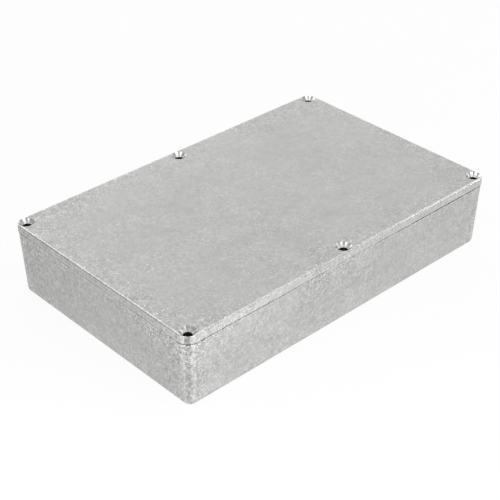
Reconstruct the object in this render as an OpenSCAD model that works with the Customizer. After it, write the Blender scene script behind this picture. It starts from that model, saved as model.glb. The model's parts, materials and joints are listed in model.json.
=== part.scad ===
// Cast aluminium effects-pedal enclosure: a drafted box and a lap-jointed lid with countersunk screw holes.
// The box stands on its closed end, lid up. Origin at the middle of the closed end, +Z up, millimetres.

/* [Outside] */
// Length over the lid's edge
length = 188; // [130:1:240]
// Width over the lid's edge
width = 119.5; // [80:0.5:160]
// Height over the lid
height = 37; // [28:0.5:50]
// Radius of the lid's upright corners at the parting plane
corner_r = 5.4; // [5:0.1:8]
// Draft of the box's walls in degrees
draft = 2.5; // [1:0.1:3]
// Radius round the edge of the closed end
base_r = 2.8; // [1.5:0.1:3.2]

/* [Walls] */
// Thickness of the walls at the parting plane
wall = 2.2; // [1.6:0.1:2.8]
// Thickness of the closed end
floor_t = 2.4; // [1.8:0.1:4]
// Radius where the walls meet the floor inside
inner_base_r = 1.2; // [0.5:0.1:2]
// Round on the outer edge of the box's rim
rim_r = 0.6; // [0.2:0.05:0.8]

/* [Lid] */
// Height of the lid's edge above the parting plane
lid_edge_h = 4; // [3.2:0.1:5]
// Thickness of the lid's plate
lid_t = 2.4; // [1.8:0.1:3]
// How far the lid's edge stands out past the box
lid_overhang = 0.25; // [0:0.05:0.6]
// Draft of the lid's edge in degrees
lid_draft = 3; // [1:0.5:6]
// Round on the lid's upper edge
lid_top_r = 0.5; // [0.3:0.05:0.8]
// Round on the lid's lower edge
lid_low_r = 0.4; // [0.2:0.05:0.6]
// How far the lid's lip reaches into the box
lip_depth = 1.6; // [1:0.1:3]
// Thickness of the lip
lip_t = 1.4; // [1:0.1:1.6]
// Clearance between the lip and the box
lip_gap = 0.25; // [0.15:0.05:0.4]

/* [Screw holes] */
// Distance of the hole centres from the lid's edges
hole_inset = 4.5; // [4.3:0.1:6]
// Holes along each long side, corners included
side_holes = 3; // [2:1:4]
// Diameter of the clearance holes in the lid
hole_d = 4; // [3.4:0.1:4.6]
// Diameter of the countersinks at the lid's face
sink_d = 7.4; // [6.6:0.1:7.8]
// Included angle of the countersinks in degrees
sink_angle = 82; // [82:1:100]
// Diameter of the holes tapped in the bosses
thread_d = 2.8; // [2.2:0.1:3.4]
// Depth of full thread
thread_depth = 12; // [8:0.5:18]
// Diameter of the bosses at the parting plane
boss_d = 8.4; // [7.4:0.1:9.4]
// Fillet between the bosses and the walls at the parting plane
boss_fillet = 2.2; // [2:0.1:3]

/* [Hidden] */
$fn = 96;

// How far a cut runs past the face it opens
over = 1;
// How deep a fillet's arc bites into the faces it blends, so that they cross cleanly
bite = 0.1;
// Included angle of the drill's point at the bottom of the tapped holes
drill_angle = 118;

// Heights
parting_z = height - lid_edge_h;
hollow_h = parting_z - floor_t;

// Corner axes, shared by the lid, the box and its hollow, and their radii there at the parting plane
axis_x = length / 2 - corner_r;
axis_y = width / 2 - corner_r;
box_corner = corner_r - lid_overhang;
hollow_corner = box_corner - wall;
hollow_floor_corner = hollow_corner - hollow_h * tan(draft);

// Screw holes and bosses
hole_x = length / 2 - hole_inset;
hole_y = width / 2 - hole_inset;
hole_step = 2 * hole_x / (side_holes - 1);
sink_depth = (sink_d - hole_d) / 2 / tan(sink_angle / 2);
drill_point = thread_d / 2 / tan(drill_angle / 2);
boss_r = boss_d / 2;
boss_gap = hole_inset - lid_overhang - wall;
fillet_y = boss_gap - boss_fillet + bite;
fillet_x = sqrt(pow(boss_r + boss_fillet - bite, 2) - pow(fillet_y, 2));

// Half section of a drafted wall: the rim at y = 0, the narrow end at y = depth, both edges rounded
module wall_profile(reach, depth, slope, rim_round, end_round) {
    lean = [cos(slope), sin(slope)];
    rim = [reach - rim_round * (tan(slope) + 1 / cos(slope)), rim_round];
    end = [reach - (depth - end_round) * tan(slope) - end_round / cos(slope), depth - end_round];
    polygon([
        [0, 0],
        [rim.x, 0],
        if (rim_round > 0) rim + rim_round * lean,
        end + end_round * lean,
        [end.x, depth],
        [0, depth],
    ]);
    for (edge = [[rim, rim_round], [end, end_round]])
        if (edge[1] > 0)
            translate(edge[0])
                outer_half_disc(edge[1]);
}

// The half of a disc on the +X side
module outer_half_disc(radius) {
    intersection() {
        circle(radius);
        translate([0, -radius])
            square([radius, 2 * radius]);
    }
}

// A wall section carried round the four corner axes, and the block between them
module swept_block(depth) {
    for (quarter = [[1, 1, 0], [-1, 1, 90], [-1, -1, 180], [1, -1, 270]])
        translate([quarter[0] * axis_x, quarter[1] * axis_y])
            rotate(quarter[2])
                rotate_extrude(angle = 90)
                    children();
    for (side = [0, 180])
        rotate(side) {
            translate([axis_x, 0])
                rotate([90, 0, 0])
                    linear_extrude(2 * axis_y, center = true)
                        children();
            translate([0, axis_y])
                rotate([90, 0, 90])
                    linear_extrude(2 * axis_x, center = true)
                        children();
        }
    translate([-axis_x, -axis_y])
        cube([2 * axis_x, 2 * axis_y, depth]);
}

// Places its child at a corner boss, mirrored into all four corners
module at_corners() {
    for (x = [0, 1], y = [0, 1])
        mirror([x, 0, 0])
            mirror([0, y, 0])
                translate([hole_x, hole_y])
                    children();
}

// Places its child at the bosses between the corners, on both long sides
module at_sides() {
    if (side_holes > 2)
        for (y = [0, 1], place = [1 : side_holes - 2])
            mirror([0, y, 0])
                translate([place * hole_step - hole_x, hole_y])
                    children();
}

// Turns a web along +X, against a wall on +Y, into the two webs of a corner boss
module corner_webs() {
    mirror([1, 0, 0])
        children();
    rotate(-90)
        children();
}

// The same for a boss in the middle of a wall
module side_webs() {
    children();
    mirror([1, 0, 0])
        children();
}

// Plan of the metal between a boss and its wall, out to the middle of the fillet
module web_plan() {
    polygon([
        [0, 0],
        [0, boss_gap + wall / 2],
        [fillet_x, boss_gap + wall / 2],
        [fillet_x, fillet_y],
    ]);
}

// Web beside a boss, hollowed by an upright fillet
module web() {
    difference() {
        linear_extrude(parting_z + 2 * over)
            web_plan();
        translate([fillet_x, fillet_y])
            cylinder(h = parting_z + 3 * over, r = boss_fillet);
    }
}

// Screw boss, widening towards the floor with the walls' draft. It runs past the floor and the parting plane
module boss() {
    low_z = floor_t - over;
    high_z = parting_z + 2 * over;
    translate([0, 0, low_z])
        cylinder(
            h = high_z - low_z,
            r1 = boss_r + (parting_z - low_z) * tan(draft),
            r2 = boss_r + (parting_z - high_z) * tan(draft)
        );
}

// Drilled and tapped hole, down from the top of a boss
module tapped_hole() {
    translate([0, 0, parting_z - thread_depth])
        cylinder(h = thread_depth + over, d = thread_d);
    translate([0, 0, parting_z - thread_depth - drill_point])
        cylinder(h = drill_point, r1 = 0, r2 = thread_d / 2);
}

// The hollow of the box, with the bosses and their webs left standing in it
module hollow() {
    top_corner = hollow_corner + over * tan(draft);
    depth = hollow_h + over;
    difference() {
        translate([0, 0, parting_z + over])
            mirror([0, 0, 1])
                swept_block(depth)
                    wall_profile(top_corner, depth, draft, 0, min(inner_base_r, hollow_floor_corner));
        at_corners() {
            boss();
            corner_webs()
                web();
        }
        at_sides() {
            boss();
            side_webs()
                web();
        }
    }
}

module box() {
    color([0.74, 0.74, 0.73])
        difference() {
            translate([0, 0, parting_z])
                mirror([0, 0, 1])
                    swept_block(parting_z)
                        wall_profile(box_corner, parting_z, draft, rim_r, base_r);
            hollow();
            at_corners()
                tapped_hole();
            at_sides()
                tapped_hole();
        }
}

// Plan of the box's hollow at the parting plane, drawn in by an even inset all round
module hollow_plan(inset) {
    difference() {
        square(2 * [axis_x + hollow_corner - inset, axis_y + hollow_corner - inset], center = true);
        at_corners() {
            circle(boss_r + inset);
            corner_webs()
                filleted_web_plan(inset);
        }
        at_sides() {
            circle(boss_r + inset);
            side_webs()
                filleted_web_plan(inset);
        }
    }
}

module filleted_web_plan(inset) {
    difference() {
        web_plan();
        translate([fillet_x, fillet_y])
            circle(boss_fillet - inset);
    }
}

// Clearance hole and countersink, down from the lid's face
module screw_hole() {
    translate([0, 0, parting_z - over])
        cylinder(h = lid_edge_h + over, d = hole_d);
    translate([0, 0, height - sink_depth])
        cylinder(h = sink_depth + over, r1 = hole_d / 2, r2 = sink_d / 2 + over * tan(sink_angle / 2));
}

module lid() {
    color([0.75, 0.75, 0.74])
        difference() {
            union() {
                translate([0, 0, parting_z])
                    swept_block(lid_edge_h)
                        wall_profile(corner_r, lid_edge_h, lid_draft, lid_low_r, lid_top_r);
                translate([0, 0, parting_z - lip_depth])
                    linear_extrude(lip_depth + lid_low_r)
                        hollow_plan(lip_gap);
            }
            translate([0, 0, parting_z - lip_depth - over])
                linear_extrude(lip_depth + over + lid_edge_h - lid_t)
                    hollow_plan(lip_gap + lip_t);
            at_corners()
                screw_hole();
            at_sides()
                screw_hole();
        }
}

box();
lid();
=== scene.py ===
import json
import math
from types import SimpleNamespace

import bpy
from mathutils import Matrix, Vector


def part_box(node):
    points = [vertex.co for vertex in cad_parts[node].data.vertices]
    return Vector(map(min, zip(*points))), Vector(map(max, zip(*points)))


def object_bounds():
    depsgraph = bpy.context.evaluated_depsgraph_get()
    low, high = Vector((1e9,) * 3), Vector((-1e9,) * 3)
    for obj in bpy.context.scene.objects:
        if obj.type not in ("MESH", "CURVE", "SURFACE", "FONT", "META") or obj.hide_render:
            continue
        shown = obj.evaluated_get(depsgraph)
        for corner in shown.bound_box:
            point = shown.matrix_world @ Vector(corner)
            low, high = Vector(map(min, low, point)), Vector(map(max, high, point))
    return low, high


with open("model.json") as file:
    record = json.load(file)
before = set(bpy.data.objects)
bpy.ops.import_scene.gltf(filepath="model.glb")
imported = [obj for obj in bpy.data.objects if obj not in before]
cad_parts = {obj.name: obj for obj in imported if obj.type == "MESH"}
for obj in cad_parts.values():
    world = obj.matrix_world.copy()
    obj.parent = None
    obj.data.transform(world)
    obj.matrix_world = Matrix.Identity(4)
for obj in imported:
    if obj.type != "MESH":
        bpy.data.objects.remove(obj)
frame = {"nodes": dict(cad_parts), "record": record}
cad_low, cad_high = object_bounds()

# The frame is in metres, and the finish is written in millimetres
MM = 0.001

# Camera, as fitted to the photograph's edges
IMAGE_SIDE_PX = 500
FOCAL_PX = 1272.28
SENSOR_MM = 36
CLIP_NEAR = 0.01
CLIP_FAR = 100
CAMERA_BEARING = (-43.069, 33.428)
CAMERA_DISTANCE = 0.5845
CAMERA_TARGET = Vector((-0.01274, -0.00916, 0.0185))

# Studio lamps: bearing from what they face, distance and size in metres, brightness as a mirror shows it
AIM_Z = 0.02
MIDDLE = Vector((0, 0, AIM_Z))
NEAR_CORNER = Vector((cad_low.x, cad_low.y, AIM_Z))
FAR_CORNER = Vector((cad_high.x, cad_low.y, AIM_Z))
LAMPS = {
    "softbox_right": {
        "faces": MIDDLE, "bearing": (5, 54), "distance": 0.9,
        "size": (0.45, 0.34), "brightness": 2.2,
    },
    "softbox_left": {
        "faces": MIDDLE, "bearing": (-88, 55), "distance": 0.9,
        "size": (0.36, 0.32), "brightness": 2.2,
    },
    "back_light": {
        "faces": MIDDLE, "bearing": (137, 22), "distance": 1.1,
        "size": (0.9, 0.9), "brightness": 0.55,
    },
    "back_side_light": {
        "faces": MIDDLE, "bearing": (178, 24), "distance": 1.1,
        "size": (0.8, 0.8), "brightness": 0.85,
    },
    "rim_light": {
        "faces": FAR_CORNER, "bearing": (42, 14), "distance": 0.7,
        "size": (0.45, 0.25), "brightness": 4.8,
    },
    "long_side_kick": {
        "faces": NEAR_CORNER, "bearing": (5, 6), "distance": 0.2,
        "size": (0.12, 0.08), "brightness": 8.2,
    },
    "short_side_kick": {
        "faces": NEAR_CORNER, "bearing": (-80, 8), "distance": 0.11,
        "size": (0.07, 0.06), "brightness": 5.0,
    },
}

# Surroundings, with soft edges in degrees: white horizon, white sweep behind, dark card and grey room
HORIZON_EDGES = (10, 20)
SWEEP_BEARING = (137, 10)
SWEEP_EDGES = (35, 70)
CARD_BEARING = (-120, 5)
CARD_EDGES = (30, 60)
CARD_SHADE = 0.7
ROOM_GREY = 0.45

# Floor
FLOOR_SIDE = 12
FLOOR_GAP = 0.1 * MM
FLOOR_COLOUR = (0.92, 0.92, 0.92, 1)
FLOOR_LIFT = 0.92

# Sizes of the castings in millimetres, with the places of the screw holes from the record
mounts = {mount["name"]: mount for mount in frame["record"]["mounts"]}
corner_dims = mounts["lid_corner_holes"]["dims"]
HOLE_X = corner_dims["spacing_x_mm"] / 2
HOLE_Y = corner_dims["spacing_y_mm"] / 2
HOLE_R = corner_dims["hole_r_mm"]
SINK_R = 3.7
SINK_HALF_ANGLE = 41
CORNER_R = 5.4
PARTING_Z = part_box("box")[1].z / MM
HALF_LENGTH = cad_high.x / MM
HALF_WIDTH = cad_high.y / MM
HEIGHT = cad_high.z / MM
SINK_LOW_Z = HEIGHT - (SINK_R - HOLE_R) / math.tan(math.radians(SINK_HALF_ANGLE))

# Bare cast aluminium
METAL_TINT = (0.475, 0.475, 0.465)
METAL_ROUGHNESS = 0.56
BUMP_DEPTH = 0.02 * MM

# Noise in the finish: size in millimetres, levels of detail and their strength. Streaks run upright
NOISES = {
    "clouds": (38, 2, 0.55),
    "drifts": (9, 2, 0.55),
    "patches": (20, 2, 0.55),
    "mottle": (3.2, 3, 0.6),
    "curds": (1.8, 2, 0.6),
    "grain": (0.8, 2, 0.7),
    "curls": (2, 1, 0.55),
}
STREAK_NOISE = (0.9, 2, 0.55)
STREAK_STRETCH = (1, 1, 0.25)

# Spots and flakes: size of their cells in millimetres, radius in cells, and share of the cells that have one
SPECKS = (1.3, 0.38, 0.2)
PITS = (1.9, 0.3, 0.14)
PIT_SHIFT = (31, 17, 5)
FLAKE_SIZE = 0.65

# Smallest spot and the soft edge of every spot, as shares of a radius
SMALLEST_SPOT = 0.4
SPOT_EDGE = (1.0, 0.55)

# Scratches: angles in degrees with lengths in millimetres, their breadth, and the spots they are drawn from
SCRATCHES = ((14, 5), (61, 6), (108, 4), (152, 5))
SCRATCH_BREADTH = 0.4
SCRATCH_SPOTS = (1, 0.45, 0.04)

# Where the finish changes: a pair is where a change starts and is full, in millimetres or by the normal
LEVEL_FACING = 0.7
PATCH_EDGE = (-0.1, 0.12)
CURL_EDGE = (0.07, 0.02)
CURL_MEAN = 0.3
WORN_REACH = (18, 0.5)
CORNER_REACH = (11, 4)
SMOOTHER_X = (-80, 60)
BOTTOM_SPARED = 12
# Painted shade down the middle of upright corners, and painted highlights beside it on the box
RIDGE_TURN = (0.8, 0.97)
SHOULDER_RISE = (0.1, 0.4)
SHOULDER_FALL = (0.95, 0.7)
# Painted light, lighter towards the bottom of the box's walls
LOW_WALL_LIGHT_Z = (20, 2)
# Burnished rim of the box below the joint, with a painted highlight
RIM_Z = (PARTING_Z - 1.5, PARTING_Z - 0.7)
RIM_BURNISH_AND_HIGHLIGHT = 0.4
# Burnished upper edge of the lid with a painted highlight, stronger at the front and near the corners
EDGE_SLOPE = (0.4, 0.6)
EDGE_REACH = (1.3, 0.6)
RUBBED_Y = (45, -50)
RUBBED_REACH = (110, 25)
SHADE_RISE = (0.06, 0.2)
SHADE_FALL = (0.5, 0.36)
SHORT_SIDE_SHADE = 0.32
LONG_SIDE_SHADE = 0.62

# Painted shade in the joint between the castings, faint on the short sides and deepest where the lid gapes
# towards the ends of the long ones
JOINT_Z = PARTING_Z - 0.05
JOINT_EDGE = (0.46, 0.3)
LONG_SIDE_Y = (46, 58)
RIGHT_GAPE_X = (0, 55)
LEFT_GAPE_X = (0, -65)
LEFT_GAPE = 0.6
SHORT_SIDE_DEPTH = 0.14
LONG_SIDE_DEPTH = 0.38
GAPE_DEPTH = 0.5

# Turned countersinks, and bores darkened with painted shade that deepens down the hole
SINK_EDGE = (SINK_R + 0.02, SINK_R - 0.05)
POLISH_EDGE = (HOLE_R + 0.5, SINK_R - 0.5)
BORE_EDGE = (HOLE_R + 0.12, HOLE_R + 0.02)
BORE_Z = (SINK_LOW_Z, SINK_LOW_Z - 1.2)
SINK_BRIGHTNESS = 1.48
# Painted shade in the bores
BORE_SHADE_BRIGHTNESS = 0.26
SINK_INNER_ROUGHNESS = 0.36
SINK_OUTER_ROUGHNESS = 0.2
RING_PITCH = 0.3
RING_HEIGHT = 0.1

# How the layers of the finish add up, as gains by their names
WORN_GAINS = {"clouds": 45, "drifts": 12}
EVEN_BUSY = 0.39
BUSY_GAINS = {
    "box": {"patches": 0.32, "worn": 1.0, "cornered": 0.12, "on_wall": 0.3, "smoother": -0.26},
    "lid": {"patches": 0.32, "worn": 0.8, "cornered": 0.12, "on_wall": -0.08, "smoother": -0.26},
}
PATTERN_GAINS = {
    "curds": 0.36, "grain": 0.32, "flakes": 0.12, "streaks": 0.16,
    "pits": -0.2, "curls": 0.16, "scratches": 0.1,
}
SPECK_GAINS = {"box": {"specks": 0.34}, "lid": {"specks": 0.44}}
BRIGHTNESS_GAINS = {"clouds": 0.16, "drifts": 0.12, "mottle": 0.36, "pattern": 1.0, "joint_shade": -0.95}
# Edge gains paint highlights beside the box's corners, on its rim and on the lid's upper edge, light on the
# box's low wall, shade along corner ridges and under the lid's edge; the lid's on_wall gain is painted light
# on its side band
EDGE_GAINS = {
    "box": {"shoulder_highlights": 0.07, "ridge_shade": -0.08, "burnish_and_highlight": 0.18, "low": 0.05},
    "lid": {
        "ridge_shade": -0.42, "burnish_and_highlight": 0.1, "front_edge_highlight": 0.33, "corner_edge_highlight": 0.3,
        "edge_shade": -1.0, "on_wall": 0.04,
    },
}
ROUGHNESS_GAINS = {"mottle": 0.12, "specks": -0.16, "scratches": -0.12, "burnish_and_highlight": -0.24}
BUMP_GAINS = {"grain": 0.7, "mottle": 0.3, "streaks": 0.4, "pits": -0.6, "scratches": -0.3}


def bearing(azimuth, elevation):
    """Unit vector towards a bearing. Azimuth 0 is along -Y and grows towards +X."""
    turn, rise = math.radians(azimuth), math.radians(elevation)
    return Vector((math.sin(turn) * math.cos(rise), -math.cos(turn) * math.cos(rise), math.sin(rise)))


def aimed(thing, place, target):
    """Links an object at a place, with its -Z axis turned to a target."""
    bpy.context.scene.collection.objects.link(thing)
    thing.location = place
    thing.rotation_euler = (target - place).to_track_quat("-Z", "Y").to_euler()
    return thing


class Graph:
    """The nodes of a material or world, made by short calls."""

    def __init__(self, owner):
        owner.use_nodes = True
        self.tree = owner.node_tree
        self.tree.nodes.clear()

    def add(self, kind, inputs=None, **settings):
        made = self.tree.nodes.new("ShaderNode" + kind)
        for name, value in settings.items():
            setattr(made, name, value)
        for name, value in (inputs or {}).items():
            if isinstance(value, bpy.types.NodeSocket):
                self.tree.links.new(value, made.inputs[name])
            else:
                made.inputs[name].default_value = value
        return made

    def math(self, operation, first, second=0.0):
        return self.add("Math", {0: first, 1: second}, operation=operation).outputs[0]

    def product(self, first, *others):
        for other in others:
            first = self.math("MULTIPLY", first, other)
        return first

    def scaled(self, value, gain, start):
        """Value times gain, plus start."""
        return self.add("Math", {0: value, 1: gain, 2: start}, operation="MULTIPLY_ADD").outputs[0]

    def total(self, start, layers, gains):
        """Start plus the named layers, each times its gain."""
        for name, gain in gains.items():
            start = self.scaled(layers[name], gain, start)
        return start

    def vector(self, operation, first, second):
        return self.add("VectorMath", {0: first, 1: second}, operation=operation).outputs[0]

    def split(self, vector):
        return self.add("SeparateXYZ", {0: vector}).outputs

    def joined(self, first, second):
        return self.add("CombineXYZ", {0: first, 1: second}).outputs[0]

    def length(self, first, second):
        """Length of a vector from its two parts."""
        made = self.add("VectorMath", {0: self.joined(first, second)}, operation="LENGTH")
        return made.outputs["Value"]

    def ramp(self, value, start, end, low=0.0, high=1.0):
        """Smooth step from low at start to high at end. Start may be the greater."""
        if start > end:
            start, end, low, high = end, start, high, low
        made = self.add(
            "MapRange",
            {"Value": value, "From Min": start, "From Max": end, "To Min": low, "To Max": high},
            interpolation_type="SMOOTHSTEP",
        )
        return made.outputs[0]

    def choose(self, share, first, second):
        """First where share is 0, second where it is 1."""
        made = self.add("Mix", {"Factor": share, "A": first, "B": second}, data_type="FLOAT")
        return made.outputs[0]

    def noise(self, where, size, detail, roughness):
        """Noise from about -0.5 to 0.5."""
        made = self.add(
            "TexNoise",
            {"Vector": where, "Scale": 1 / size, "Detail": detail, "Roughness": roughness},
        )
        return self.math("SUBTRACT", made.outputs[0], 0.5)

    def cells(self, where, size):
        """Distance from the middles of Voronoi cells, and two random values for each cell."""
        made = self.add("TexVoronoi", {"Vector": where, "Scale": 1 / size}, voronoi_dimensions="3D")
        picked = self.add("SeparateColor", {"Color": made.outputs["Color"]})
        return made.outputs["Distance"], picked.outputs[0], picked.outputs[1]

    def spots(self, where, size, radius, share):
        """Soft spots of uneven size in a share of the cells."""
        distance, pick, growth = self.cells(where, size)
        reach = self.choose(growth, SMALLEST_SPOT * radius, radius)
        spot = self.ramp(self.math("DIVIDE", distance, reach), *SPOT_EDGE)
        return self.product(spot, self.math("LESS_THAN", pick, share))

    def flakes(self, where, size):
        """Crisp cells, each with its own even value from -0.5 to 0.5."""
        return self.math("SUBTRACT", self.cells(where, size)[1], 0.5)


def edge_distances(graph, x, y, z):
    """Distance to the nearest outer edge, and to the nearest upright one.

    The nearest edge lies at the middle one of the distances to three outer faces.
    The edge round the closed end counts as farther off than it is.
    """
    end = graph.math("SUBTRACT", HALF_LENGTH, graph.math("ABSOLUTE", x))
    side = graph.math("SUBTRACT", HALF_WIDTH, graph.math("ABSOLUTE", y))
    level = graph.math("MINIMUM", graph.math("ADD", z, BOTTOM_SPARED), graph.math("SUBTRACT", HEIGHT, z))
    corner_x = graph.math("MAXIMUM", graph.math("SUBTRACT", CORNER_R, end), 0.0)
    corner_y = graph.math("MAXIMUM", graph.math("SUBTRACT", CORNER_R, side), 0.0)
    nearer = graph.math("MAXIMUM", graph.math("MINIMUM", end, side), CORNER_R)
    nearer = graph.math("SUBTRACT", nearer, graph.length(corner_x, corner_y))
    upright = graph.math("MAXIMUM", end, side)
    return graph.math("MAXIMUM", nearer, graph.math("MINIMUM", upright, level)), upright


def surface(graph):
    """Where a point lies on a casting in millimetres, how it faces and how far off the edges are."""
    coordinates = graph.add("TexCoord").outputs["Object"]
    metric = graph.add("VectorMath", {0: coordinates, "Scale": 1 / MM}, operation="SCALE").outputs[0]
    x, y, z = graph.split(metric)
    normal = graph.add("NewGeometry").outputs["Normal"]
    facing = graph.add("VectorMath", {0: normal}, operation="ABSOLUTE").outputs[0]
    facing_x, facing_y, facing_z = graph.split(facing)
    on_level = graph.math("GREATER_THAN", facing_z, LEVEL_FACING)
    on_long = graph.math("GREATER_THAN", facing_y, facing_x)
    across = graph.choose(on_level, graph.choose(on_long, y, x), x)
    along = graph.choose(on_level, z, y)
    from_edge, from_upright = edge_distances(graph, x, y, z)
    return SimpleNamespace(
        metric=metric,
        x=x,
        y=y,
        z=z,
        slope=graph.split(normal)[2],
        turned=graph.product(facing_x, facing_y, 2.0),
        on_wall=graph.math("SUBTRACT", 1.0, on_level),
        on_long=on_long,
        plane=graph.joined(across, along),
        from_edge=from_edge,
        from_upright=from_upright,
    )


def scratches(graph, plane):
    """Short scratches at a few angles, as stretched spots."""
    marks = 0.0
    for angle, length in SCRATCHES:
        turned = graph.add(
            "VectorRotate",
            {"Vector": plane, "Angle": math.radians(angle)},
            rotation_type="Z_AXIS",
        )
        stretched = graph.vector("MULTIPLY", turned.outputs[0], (1 / length, 1 / SCRATCH_BREADTH, 1))
        marks = graph.math("MAXIMUM", marks, graph.spots(stretched, *SCRATCH_SPOTS))
    return marks


def grain_layers(graph, at):
    """Layers that both castings have all over: clouds, grain, flakes, spots and scratches.

    Patches lie where their noise is high, and curls are thin lines where theirs is near 0.
    """
    layers = {name: graph.noise(at.metric, *noise) for name, noise in NOISES.items()}
    layers["patches"] = graph.ramp(layers["patches"], *PATCH_EDGE)
    curls = graph.ramp(graph.math("ABSOLUTE", layers["curls"]), *CURL_EDGE)
    layers["curls"] = graph.math("SUBTRACT", curls, CURL_MEAN)
    streaks = graph.noise(graph.vector("MULTIPLY", at.metric, STREAK_STRETCH), *STREAK_NOISE)
    layers["streaks"] = graph.product(streaks, at.on_wall)
    layers["flakes"] = graph.flakes(at.metric, FLAKE_SIZE)
    layers["specks"] = graph.spots(at.metric, *SPECKS)
    layers["pits"] = graph.spots(graph.vector("ADD", at.metric, PIT_SHIFT), *PITS)
    layers["scratches"] = scratches(graph, at.plane)
    return layers


def painted_joint_shade(graph, at):
    """Depth of the painted shade in the joint under the lid's edge."""
    line = graph.ramp(graph.math("ABSOLUTE", graph.math("SUBTRACT", at.z, JOINT_Z)), *JOINT_EDGE)
    on_long_side = graph.ramp(graph.math("ABSOLUTE", at.y), *LONG_SIDE_Y)
    right_gape = graph.ramp(at.x, *RIGHT_GAPE_X)
    left_gape = graph.ramp(at.x, *LEFT_GAPE_X, 0.0, LEFT_GAPE)
    gape = graph.math("MAXIMUM", right_gape, left_gape)
    long_depth = graph.scaled(gape, GAPE_DEPTH, LONG_SIDE_DEPTH)
    return graph.product(line, graph.scaled(on_long_side, long_depth, SHORT_SIDE_DEPTH))


def wear_layers(graph, at, layers):
    """Layers that say where both castings are worn, walled, cornered or smoother, with painted shade along
    corner ridges and in the joint.
    """
    return {
        "worn": graph.ramp(graph.total(at.from_edge, layers, WORN_GAINS), *WORN_REACH),
        "cornered": graph.ramp(at.from_upright, *CORNER_REACH),
        "smoother": graph.ramp(at.x, *SMOOTHER_X),
        "on_wall": at.on_wall,
        # painted shade along the middle of upright corners
        "ridge_shade": graph.ramp(at.turned, *RIDGE_TURN),
        # painted shade in the joint
        "joint_shade": painted_joint_shade(graph, at),
    }


def box_layers(graph, at):
    """The box's own layers: painted highlights beside the corners, a burnished rim with a painted highlight,
    and painted light on the low wall.
    """
    return {
        # painted highlights beside the corners
        "shoulder_highlights": graph.product(
            graph.ramp(at.turned, *SHOULDER_RISE),
            graph.ramp(at.turned, *SHOULDER_FALL),
        ),
        # burnished rim with a painted highlight
        "burnish_and_highlight": graph.ramp(at.z, *RIM_Z, 0.0, RIM_BURNISH_AND_HIGHLIGHT),
        # painted light on the low wall
        "low": graph.ramp(at.z, *LOW_WALL_LIGHT_Z),
    }


def lid_layers(graph, at, cornered):
    """The lid's own layers: its burnished upper edge with a painted highlight, stronger at the front and
    corners, and painted shade below it.
    """
    burnish_and_highlight = graph.product(graph.ramp(at.slope, *EDGE_SLOPE), graph.ramp(at.from_edge, *EDGE_REACH))
    shade = graph.product(graph.ramp(at.slope, *SHADE_RISE), graph.ramp(at.slope, *SHADE_FALL))
    return {
        # burnished edge with a painted highlight
        "burnish_and_highlight": burnish_and_highlight,
        # painted highlight, stronger at the front and near the corners
        "front_edge_highlight": graph.product(
            burnish_and_highlight,
            graph.ramp(at.y, *RUBBED_Y),
            graph.ramp(at.from_upright, *RUBBED_REACH),
        ),
        # painted highlight at the corners
        "corner_edge_highlight": graph.product(burnish_and_highlight, cornered),
        "edge_shade": graph.product(shade, graph.choose(at.on_long, SHORT_SIDE_SHADE, LONG_SIDE_SHADE)),
    }


def hole_distance(graph, at):
    """Distance from the nearest screw hole's axis, by folding the six holes onto one."""
    from_middle = graph.math("ABSOLUTE", at.x)
    from_end = graph.math("ABSOLUTE", graph.math("SUBTRACT", from_middle, HOLE_X))
    aside = graph.math("MINIMUM", from_middle, from_end)
    ahead = graph.math("SUBTRACT", graph.math("ABSOLUTE", at.y), HOLE_Y)
    return graph.length(aside, ahead)


def with_countersinks(graph, at, brightness, roughness, height):
    """The lid's finish with bright turned countersinks, bores darkened with painted shade and fine turning
    rings.
    """
    radius = hole_distance(graph, at)
    sunk = graph.ramp(radius, *SINK_EDGE)
    # painted shade in the bores, deeper down the hole
    bore_shade = graph.product(graph.ramp(radius, *BORE_EDGE), graph.ramp(at.z, *BORE_Z))
    polished = graph.ramp(radius, *POLISH_EDGE)
    turned_roughness = graph.choose(polished, SINK_INNER_ROUGHNESS, SINK_OUTER_ROUGHNESS)
    rings = graph.math("SINE", graph.product(radius, 2 * math.pi / RING_PITCH))
    brightness = graph.choose(sunk, brightness, SINK_BRIGHTNESS)
    return (
        graph.choose(bore_shade, brightness, BORE_SHADE_BRIGHTNESS),
        graph.choose(sunk, roughness, turned_roughness),
        graph.choose(sunk, height, graph.product(rings, RING_HEIGHT)),
    )


def cast_aluminium(name, part):
    """Tumbled bare casting: cloudy grey, fine grain, bright specks, short scratches and burnished edges,
    with painted highlights and painted shade.
    """
    material = bpy.data.materials.new(name)
    graph = Graph(material)
    at = surface(graph)
    layers = grain_layers(graph, at)
    layers.update(wear_layers(graph, at, layers))
    if part == "lid":
        layers.update(lid_layers(graph, at, layers["cornered"]))
    else:
        layers.update(box_layers(graph, at))

    busy = graph.total(EVEN_BUSY, layers, BUSY_GAINS[part])
    pattern = graph.total(0.0, layers, PATTERN_GAINS | SPECK_GAINS[part])
    layers["pattern"] = graph.product(pattern, busy)
    brightness = graph.total(1.0, layers, BRIGHTNESS_GAINS | EDGE_GAINS[part])
    roughness = graph.total(METAL_ROUGHNESS, layers, ROUGHNESS_GAINS)
    height = graph.total(0.0, layers, BUMP_GAINS)
    if part == "lid":
        brightness, roughness, height = with_countersinks(graph, at, brightness, roughness, height)

    colour = graph.add("VectorMath", {0: METAL_TINT, "Scale": brightness}, operation="SCALE").outputs[0]
    bump = graph.add("Bump", {"Height": height, "Distance": BUMP_DEPTH, "Strength": 1.0})
    shader = graph.add(
        "BsdfPrincipled",
        {"Base Color": colour, "Metallic": 1.0, "Roughness": roughness, "Normal": bump.outputs[0]},
    )
    graph.add("OutputMaterial", {"Surface": shader.outputs[0]})
    return material


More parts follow.
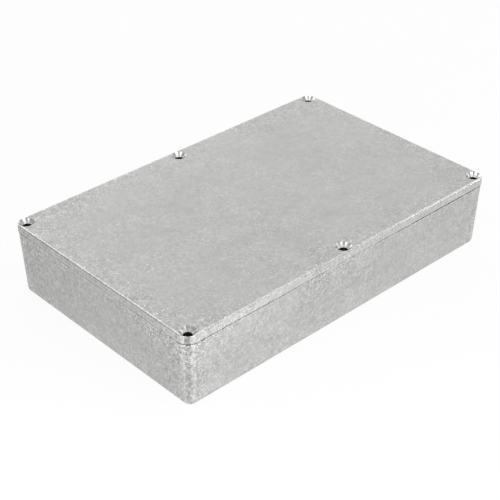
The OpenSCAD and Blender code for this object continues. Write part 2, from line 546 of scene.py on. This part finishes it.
def white_to_viewers(graph):
    """1 for rays from the camera or from a reflection, 0 for rays that light things."""
    path = graph.add("LightPath").outputs
    seen = graph.math("MAXIMUM", path["Is Camera Ray"], path["Is Glossy Ray"])
    return graph.math("MAXIMUM", seen, path["Is Transmission Ray"])


def make_floor():
    """Pale floor that stays near white to the camera and still takes the shadow."""
    material = bpy.data.materials.new("floor_white")
    graph = Graph(material)
    matt = graph.add("BsdfDiffuse", {"Color": FLOOR_COLOUR})
    glow = graph.add("Emission", {"Strength": 1.0})
    lift = graph.product(white_to_viewers(graph), FLOOR_LIFT)
    both = graph.add("MixShader", {0: lift, 1: matt.outputs[0], 2: glow.outputs[0]})
    graph.add("OutputMaterial", {"Surface": both.outputs[0]})
    # The glow shows to seeing rays alone, so it is not sampled as a lamp
    material.cycles.emission_sampling = "NONE"

    half = FLOOR_SIDE / 2
    mesh = bpy.data.meshes.new("floor")
    corners = [(-half, -half, 0), (half, -half, 0), (half, half, 0), (-half, half, 0)]
    mesh.from_pydata(corners, [], [(0, 1, 2, 3)])
    mesh.materials.append(material)
    floor = bpy.data.objects.new("floor", mesh)
    floor.location.z = cad_low.z - FLOOR_GAP
    bpy.context.scene.collection.objects.link(floor)


def sky_patch(graph, direction, middle, edges):
    """Round patch of sky: 1 inside the first of two angles from its middle, 0 past the second."""
    facing = graph.add("VectorMath", {0: direction, 1: bearing(*middle)}, operation="DOT_PRODUCT")
    full, none = [math.cos(math.radians(edge)) for edge in edges]
    return graph.ramp(facing.outputs["Value"], none, full)


def make_world():
    """White near the horizon and in the sweep, dark at the card and grey elsewhere."""
    world = bpy.data.worlds.new("studio")
    bpy.context.scene.world = world
    graph = Graph(world)
    direction = graph.add("TexCoord").outputs["Generated"]
    low, high = [math.sin(math.radians(edge)) for edge in HORIZON_EDGES]
    horizon = graph.ramp(graph.split(direction)[2], high, low)
    sweep = sky_patch(graph, direction, SWEEP_BEARING, SWEEP_EDGES)
    lit = graph.choose(graph.math("MAXIMUM", horizon, sweep), ROOM_GREY, 1.0)
    card = graph.product(sky_patch(graph, direction, CARD_BEARING, CARD_EDGES), horizon)
    strength = graph.scaled(card, -CARD_SHADE, lit)
    background = graph.add("Background", {"Color": (1, 1, 1, 1), "Strength": strength})
    graph.add("OutputWorld", {"Surface": background.outputs[0]})


def make_lamps():
    """Soft area lamps that light the object and stay out of the camera's sight."""
    for name, lamp in LAMPS.items():
        light = bpy.data.lights.new(name, "AREA")
        light.shape = "RECTANGLE"
        light.size, light.size_y = lamp["size"]
        light.energy = lamp["brightness"] * math.pi * light.size * light.size_y
        place = lamp["faces"] + bearing(*lamp["bearing"]) * lamp["distance"]
        placed = aimed(bpy.data.objects.new(name, light), place, lamp["faces"])
        placed.visible_camera = False


def make_camera():
    """Camera at the photograph's viewing angle."""
    camera = bpy.data.cameras.new("photo_camera")
    camera.sensor_width = SENSOR_MM
    camera.lens = SENSOR_MM * FOCAL_PX / IMAGE_SIDE_PX
    camera.clip_start = CLIP_NEAR
    camera.clip_end = CLIP_FAR
    place = CAMERA_TARGET + bearing(*CAMERA_BEARING) * CAMERA_DISTANCE
    bpy.context.scene.camera = aimed(bpy.data.objects.new("photo_camera", camera), place, CAMERA_TARGET)


make_camera()
make_world()
make_lamps()
make_floor()

frame["nodes"]["box"].material_slots[0].material = cast_aluminium("cast_box", "box")
frame["nodes"]["lid"].material_slots[0].material = cast_aluminium("cast_lid", "lid")

bpy.context.scene.view_settings.view_transform = "Standard"
